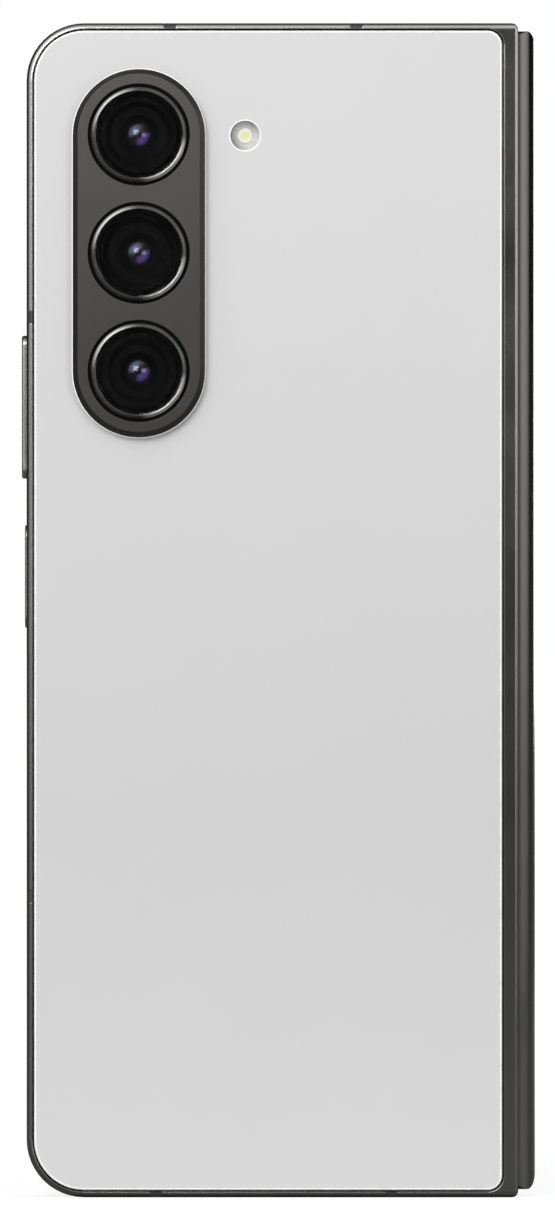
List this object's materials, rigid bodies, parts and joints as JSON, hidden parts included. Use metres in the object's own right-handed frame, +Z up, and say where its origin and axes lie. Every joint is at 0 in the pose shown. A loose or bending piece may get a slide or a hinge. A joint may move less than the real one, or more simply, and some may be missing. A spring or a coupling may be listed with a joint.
{
  "type": "folding smartphone",
  "caption": "Book-style folding smartphone, folded shut: matte glass back, long camera island with ringed lenses, metal frame, hinge spine, side keys.",
  "frame": {"origin": "centre of the bottom edge of the folded phone, on the surface it stands on", "axes": "+Z up along the long side to the top edge; -Y faces out of the camera back, +Y out of the cover screen; +X towards the hinge spine, -X towards the keys"},
  "size_m": [0.0678, 0.0156, 0.1549],
  "materials": {
    "frame_metal": "satin graphite anodised",
    "back_glass": "frosted matte",
    "island_metal": "satin",
    "ring_metal": "turned and polished",
    "clear_glass": "polished",
    "black_plastic": "matte",
    "coated_glass": "violet anti-reflection coating",
    "flash_lens": "frosted",
    "led": "phosphor",
    "lip_rubber": "matte",
    "screen": "gloss",
    "cell": "pouch foil with black tape",
    "copper": "copper wire",
    "board": "solder mask",
    "steel": "stamped",
    "key_metal": "satin",
    "spine_metal": "satin graphite anodised",
    "break_plastic": "satin",
    "cover_glass": "polished black",
    "card": "plain"
  },
  "bodies": {
    "rear_half": {"rear_frame": "frame_metal", "rear_antenna_breaks": "break_plastic", "back_glass": "back_glass", "camera_island": "island_metal", "lens_rings": "ring_metal", "cover_lenses": "clear_glass", "ultrawide_camera": "black_plastic", "wide_camera": "black_plastic", "telephoto_camera": "black_plastic", "lens_elements": "coated_glass", "flash_lens": "flash_lens", "flash_led": "led", "rear_lip": "lip_rubber", "rear_display": "screen", "rear_battery": "cell", "charging_coil": "copper", "main_board": "board", "board_shields": "steel", "loudspeaker": "black_plastic", "usb_socket": "steel", "usb_tongue": "black_plastic", "vibration_motor": "steel", "microphones": "steel", "rear_magnets": "steel", "under_display_camera": "black_plastic", "key_switches": "steel", "rear_hinge_arms": "steel", "rear_arm_screws": "steel", "main_board_screws": "steel", "charging_board": "board", "board_flex": "copper", "rear_fold_display": "screen"},
    "spine": {"spine_cover": "spine_metal", "spine_end_caps": "black_plastic", "hinge_brackets": "steel", "centre_plate": "steel"},
    "rear_wing": {"rear_wing_plate": "steel"},
    "cover_wing": {"cover_wing_plate": "steel"},
    "volume_key": {"volume_key": "key_metal"},
    "side_key": {"side_key": "key_metal"},
    "sim_tray": {"sim_tray": "frame_metal", "sim_card": "card"},
    "cover_half": {"cover_frame": "frame_metal", "cover_antenna_breaks": "break_plastic", "cover_glass": "cover_glass", "cover_screen_panel": "screen", "cover_camera": "black_plastic", "earpiece_mesh": "steel", "earpiece_speaker": "black_plastic", "cover_lip": "lip_rubber", "cover_display": "screen", "cover_battery": "cell", "cover_board": "board", "cover_magnets": "steel", "sim_reader": "steel", "cover_hinge_arms": "steel", "cover_arm_screws": "steel", "cover_board_screws": "steel", "cover_fold_display": "screen"}
  },
  "joints": [
    {"name": "rear_fold", "type": "hinge", "parent": "rear_half", "child": "spine", "pos_m": [0.02991, -0.00063, 0.07745], "axis": [0, 0, -1], "range_deg": [0, 90], "deforming": ["rear_fold_display"]},
    {"name": "cover_fold", "type": "hinge", "parent": "spine", "child": "cover_half", "pos_m": [0.02991, 0.00287, 0.07745], "axis": [0, 0, -1], "range_deg": [0, 90], "deforming": ["cover_fold_display"]},
    {"name": "rear_wing_tilt", "type": "hinge", "parent": "rear_half", "child": "rear_wing", "pos_m": [0.0256, 0.00011, 0.07745], "axis": [0, 0, 1], "range_deg": [0, 20]},
    {"name": "cover_wing_tilt", "type": "hinge", "parent": "cover_half", "child": "cover_wing", "pos_m": [0.0256, 0.00215, 0.07745], "axis": [0, 0, -1], "range_deg": [0, 20]},
    {"name": "volume_rock", "type": "hinge", "parent": "rear_half", "child": "volume_key", "pos_m": [-0.03234, -0.00252, 0.10427], "axis": [0, 1, 0], "range_deg": [-1.2, 1.2], "stiffness_Nm_per_rad": 0.7},
    {"name": "side_key_press", "type": "slide", "parent": "rear_half", "child": "side_key", "axis": [1, 0, 0], "range_m": [0, 0.0002], "stiffness_N_per_m": 5000},
    {"name": "sim_tray_slide", "type": "slide", "parent": "cover_half", "child": "sim_tray", "axis": [-1, 0, 0], "range_m": [0, 0.02]}
  ],
  "couplings": [
    {"joint": "cover_fold", "follows": "rear_fold", "ratio": 1},
    {"joint": "rear_wing_tilt", "follows": "rear_fold", "ratio": 0.22222},
    {"joint": "cover_wing_tilt", "follows": "rear_fold", "ratio": 0.22222}
  ]
}
